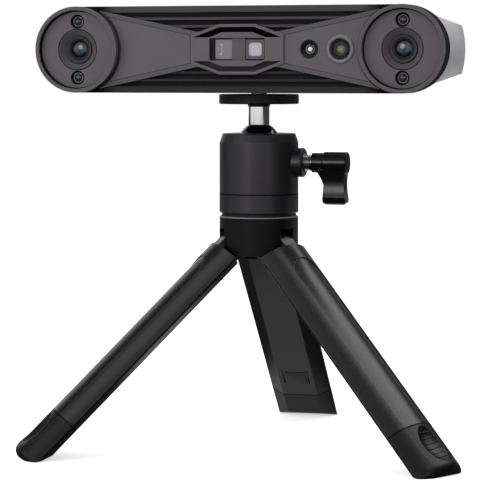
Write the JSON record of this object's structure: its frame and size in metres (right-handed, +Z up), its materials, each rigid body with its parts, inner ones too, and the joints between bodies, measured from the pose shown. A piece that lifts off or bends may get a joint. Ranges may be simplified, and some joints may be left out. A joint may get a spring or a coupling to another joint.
{
  "type": "three-d scanner on a mini tripod",
  "caption": "Bar-shaped three-d scanner with a camera at each end, on a ball head and a folding mini tripod with pull-out feet.",
  "frame": {"origin": "on the tripod's axis, at the level of the three soles", "axes": "+Z up along the tripod's axis, -Y where the scanner faces, +X along the lock knob's axis"},
  "size_m": [0.2059, 0.1865, 0.2062],
  "materials": {
    "casing_plastic": "fine matt",
    "face_plastic": "fine matt",
    "shell_plastic": "satin, silver grey",
    "black_plastic": "matt",
    "optical_glass": "polished, coated",
    "lamp_plastic": "clear",
    "bright_metal": "turned",
    "circuit_board": "solder mask",
    "frame_alloy": "die cast and extruded",
    "steel": "turned",
    "brass": "turned",
    "chrome": "polished",
    "black_anodised": "black anodised, satin",
    "leg_plastic": "black, satin"
  },
  "bodies": {
    "tripod_hub": {"hub": "leg_plastic", "hub_stud": "steel", "hub_washer": "black_anodised", "leg_pins": "steel", "head_base": "black_anodised", "head_housing": "black_anodised", "lock_bush": "black_anodised", "lock_plug": "brass"},
    "right_leg": {"right_leg_shell": "leg_plastic"},
    "right_pull_out_foot": {"right_foot": "leg_plastic", "right_extension_bar": "frame_alloy"},
    "left_leg": {"left_leg_shell": "leg_plastic"},
    "left_pull_out_foot": {"left_foot": "leg_plastic", "left_extension_bar": "frame_alloy"},
    "rear_leg": {"rear_leg_shell": "leg_plastic"},
    "rear_pull_out_foot": {"rear_foot": "leg_plastic", "rear_extension_bar": "frame_alloy"},
    "ball_pan": {"ball_seat": "brass"},
    "ball_tilt": {"ball": "chrome"},
    "scanner": {"front_casing": "casing_plastic", "face_frame": "face_plastic", "left_face_panel": "face_plastic", "right_face_panel": "face_plastic", "projector_bezel": "face_plastic", "left_end_disc": "face_plastic", "right_end_disc": "face_plastic", "rear_shell": "shell_plastic", "left_lens_cone": "black_plastic", "right_lens_cone": "black_plastic", "left_camera_barrel": "black_plastic", "right_camera_barrel": "black_plastic", "window_plate": "black_plastic", "projector_frame": "black_plastic", "colour_camera_barrel": "black_plastic", "scan_switch": "black_plastic", "laser_module": "black_plastic", "pattern_projector": "black_plastic", "left_camera_lens": "optical_glass", "right_camera_lens": "optical_glass", "colour_camera_lens": "optical_glass", "laser_pane": "optical_glass", "projector_lens": "optical_glass", "fill_lights": "lamp_plastic", "flash_led": "lamp_plastic", "status_light": "lamp_plastic", "flash_cup": "bright_metal", "colour_camera_ring": "bright_metal", "left_camera_board": "circuit_board", "right_camera_board": "circuit_board", "main_board": "circuit_board", "optics_frame": "frame_alloy", "usb_socket": "steel", "casing_screws": "steel", "mount_screw": "steel", "tripod_socket": "brass", "ball_stem": "chrome", "top_plate": "black_anodised"},
    "lock_handle": {"lock_screw": "steel", "lock_knob": "leg_plastic"},
    "button": {"scan_button": "black_plastic"}
  },
  "joints": [
    {"name": "right_leg_fold", "type": "hinge", "parent": "tripod_hub", "child": "right_leg", "pos_m": [0.00975, -0.0051, 0.0972], "axis": [0.4633, 0.8862, 0], "range_deg": [0, 45.6]},
    {"name": "right_foot_pull", "type": "slide", "parent": "right_leg", "child": "right_pull_out_foot", "axis": [0.6332, -0.331, -0.6997], "range_m": [0, 0.06]},
    {"name": "left_leg_fold", "type": "hinge", "parent": "tripod_hub", "child": "left_leg", "pos_m": [-0.00929, -0.00589, 0.0972], "axis": [0.5358, -0.8443, 0], "range_deg": [0, 45.6]},
    {"name": "left_foot_pull", "type": "slide", "parent": "left_leg", "child": "left_pull_out_foot", "axis": [-0.6032, -0.3828, -0.6997], "range_m": [0, 0.06]},
    {"name": "rear_leg_fold", "type": "hinge", "parent": "tripod_hub", "child": "rear_leg", "pos_m": [-0.00046, 0.01099, 0.0972], "axis": [-0.9991, -0.0419, 0], "range_deg": [0, 45.6]},
    {"name": "rear_foot_pull", "type": "slide", "parent": "rear_leg", "child": "rear_pull_out_foot", "axis": [-0.0299, 0.7138, -0.6997], "range_m": [0, 0.06]},
    {"name": "ball_pan_turn", "type": "hinge", "parent": "tripod_hub", "child": "ball_pan", "pos_m": [0, 0, 0.1426], "axis": [0, 0, 1], "continuous": true},
    {"name": "ball_tilt_turn", "type": "hinge", "parent": "ball_pan", "child": "ball_tilt", "pos_m": [0, 0, 0.1426], "axis": [1, 0, 0], "range_deg": [-30, 30]},
    {"name": "scanner_turn", "type": "hinge", "parent": "ball_tilt", "child": "scanner", "pos_m": [0, 0, 0.1426], "axis": [0, 0, 1], "continuous": true},
    {"name": "lock_knob_turn", "type": "hinge", "parent": "tripod_hub", "child": "lock_handle", "pos_m": [0.03, 0, 0.1342], "axis": [1, 0, 0], "range_deg": [0, 360]},
    {"name": "scan_button_press", "type": "slide", "parent": "scanner", "child": "button", "axis": [0, -1, 0], "range_m": [0, 0.0005], "stiffness_N_per_m": 1500, "springref_m": -0.0003}
  ]
}
